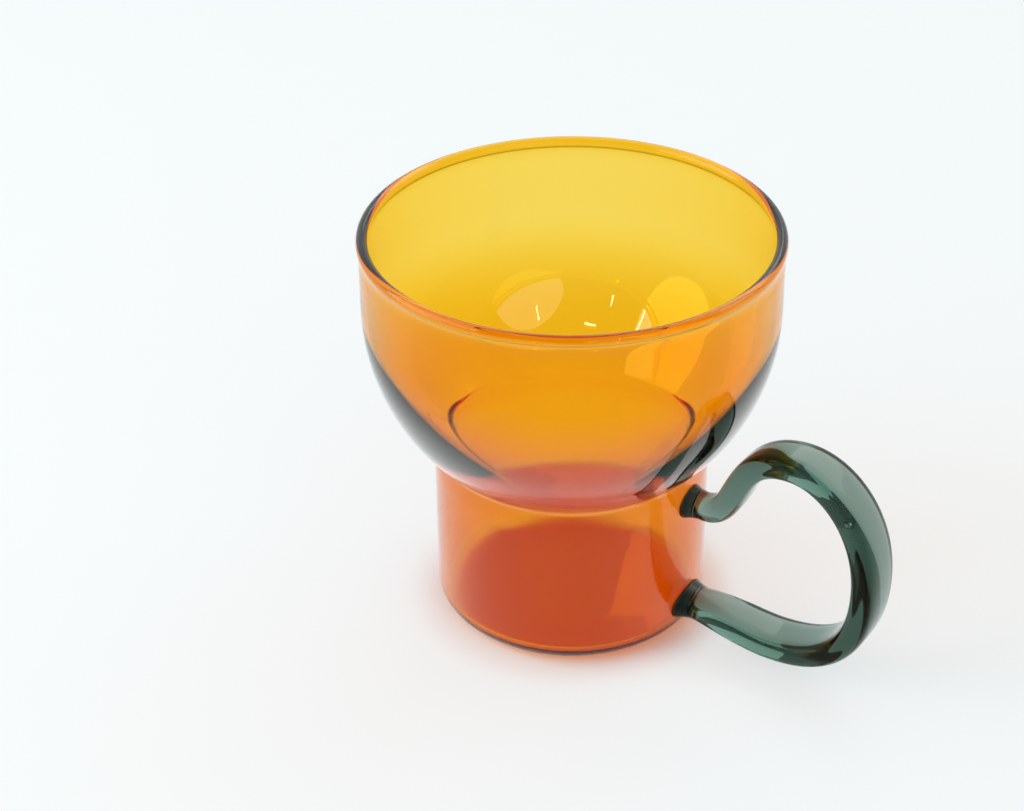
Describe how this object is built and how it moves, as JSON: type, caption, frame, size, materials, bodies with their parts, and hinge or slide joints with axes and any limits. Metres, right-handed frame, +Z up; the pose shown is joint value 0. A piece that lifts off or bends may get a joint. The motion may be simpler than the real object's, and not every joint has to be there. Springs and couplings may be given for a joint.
{
  "type": "coffee glass",
  "caption": "Amber glass cup for hot coffee: a round open bowl on a hollow drum-shaped foot, with a flattened teal glass strap handle looped from the top to the bottom of the foot",
  "frame": {"origin": "centre of the flat underside of the foot, on the vessel's axis", "axes": "+Z up along the vessel's axis, +X out through the handle, +Y across the handle's loop"},
  "size_m": [0.1193, 0.0888, 0.0902],
  "materials": {
    "amber_glass": "clear amber, fire-polished",
    "teal_glass": "clear grey-teal, fire-polished"
  },
  "bodies": {
    "root": {"bowl": "amber_glass", "foot": "amber_glass", "handle_rod": "teal_glass", "upper_handle_seal": "teal_glass", "lower_handle_seal": "teal_glass"}
  },
  "joints": []
}
